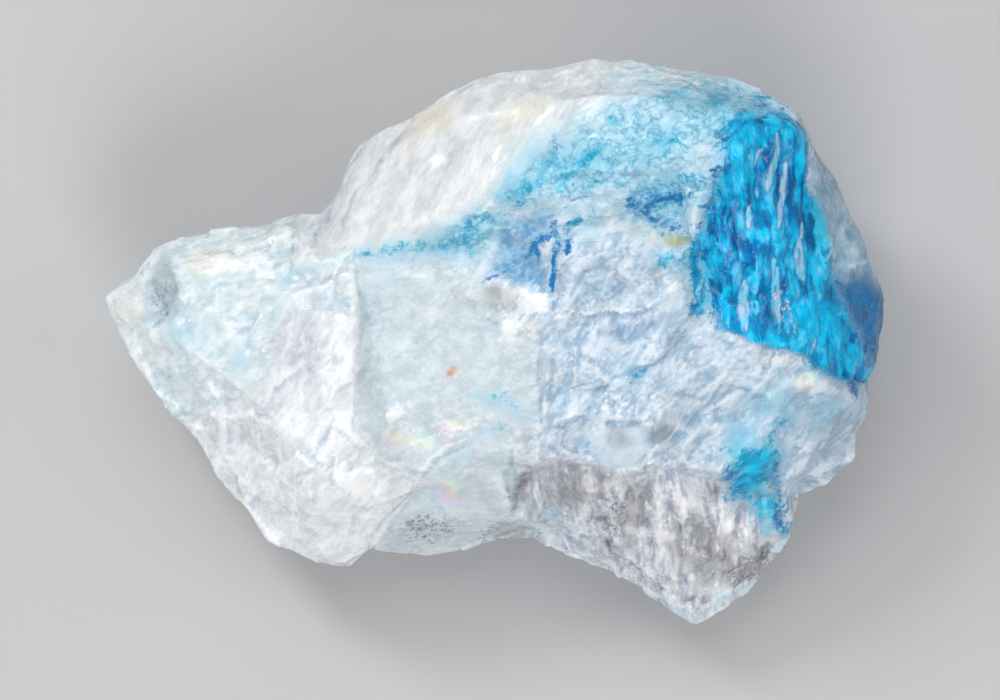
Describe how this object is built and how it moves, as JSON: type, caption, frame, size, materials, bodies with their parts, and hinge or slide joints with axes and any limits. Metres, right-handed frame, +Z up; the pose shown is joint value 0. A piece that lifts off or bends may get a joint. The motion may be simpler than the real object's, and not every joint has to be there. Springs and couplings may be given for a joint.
{
  "type": "euclase crystal",
  "caption": "Rough euclase crystal: one irregular broken piece, milky white passing into vivid blue, with flat breaks, a fluted blue face and a flat underside.",
  "frame": {"origin": "middle of the outline, on the flat face that the crystal rests on", "axes": "+X along the longest extent, from the pale narrow end to the blue end; +Y towards the high domed edge; +Z up from the resting face"},
  "size_m": [0.047, 0.034, 0.0218],
  "materials": {
    "crystal": "milky, glassy on its breaks"
  },
  "bodies": {
    "root": {"euclase_crystal": "crystal"}
  },
  "joints": []
}
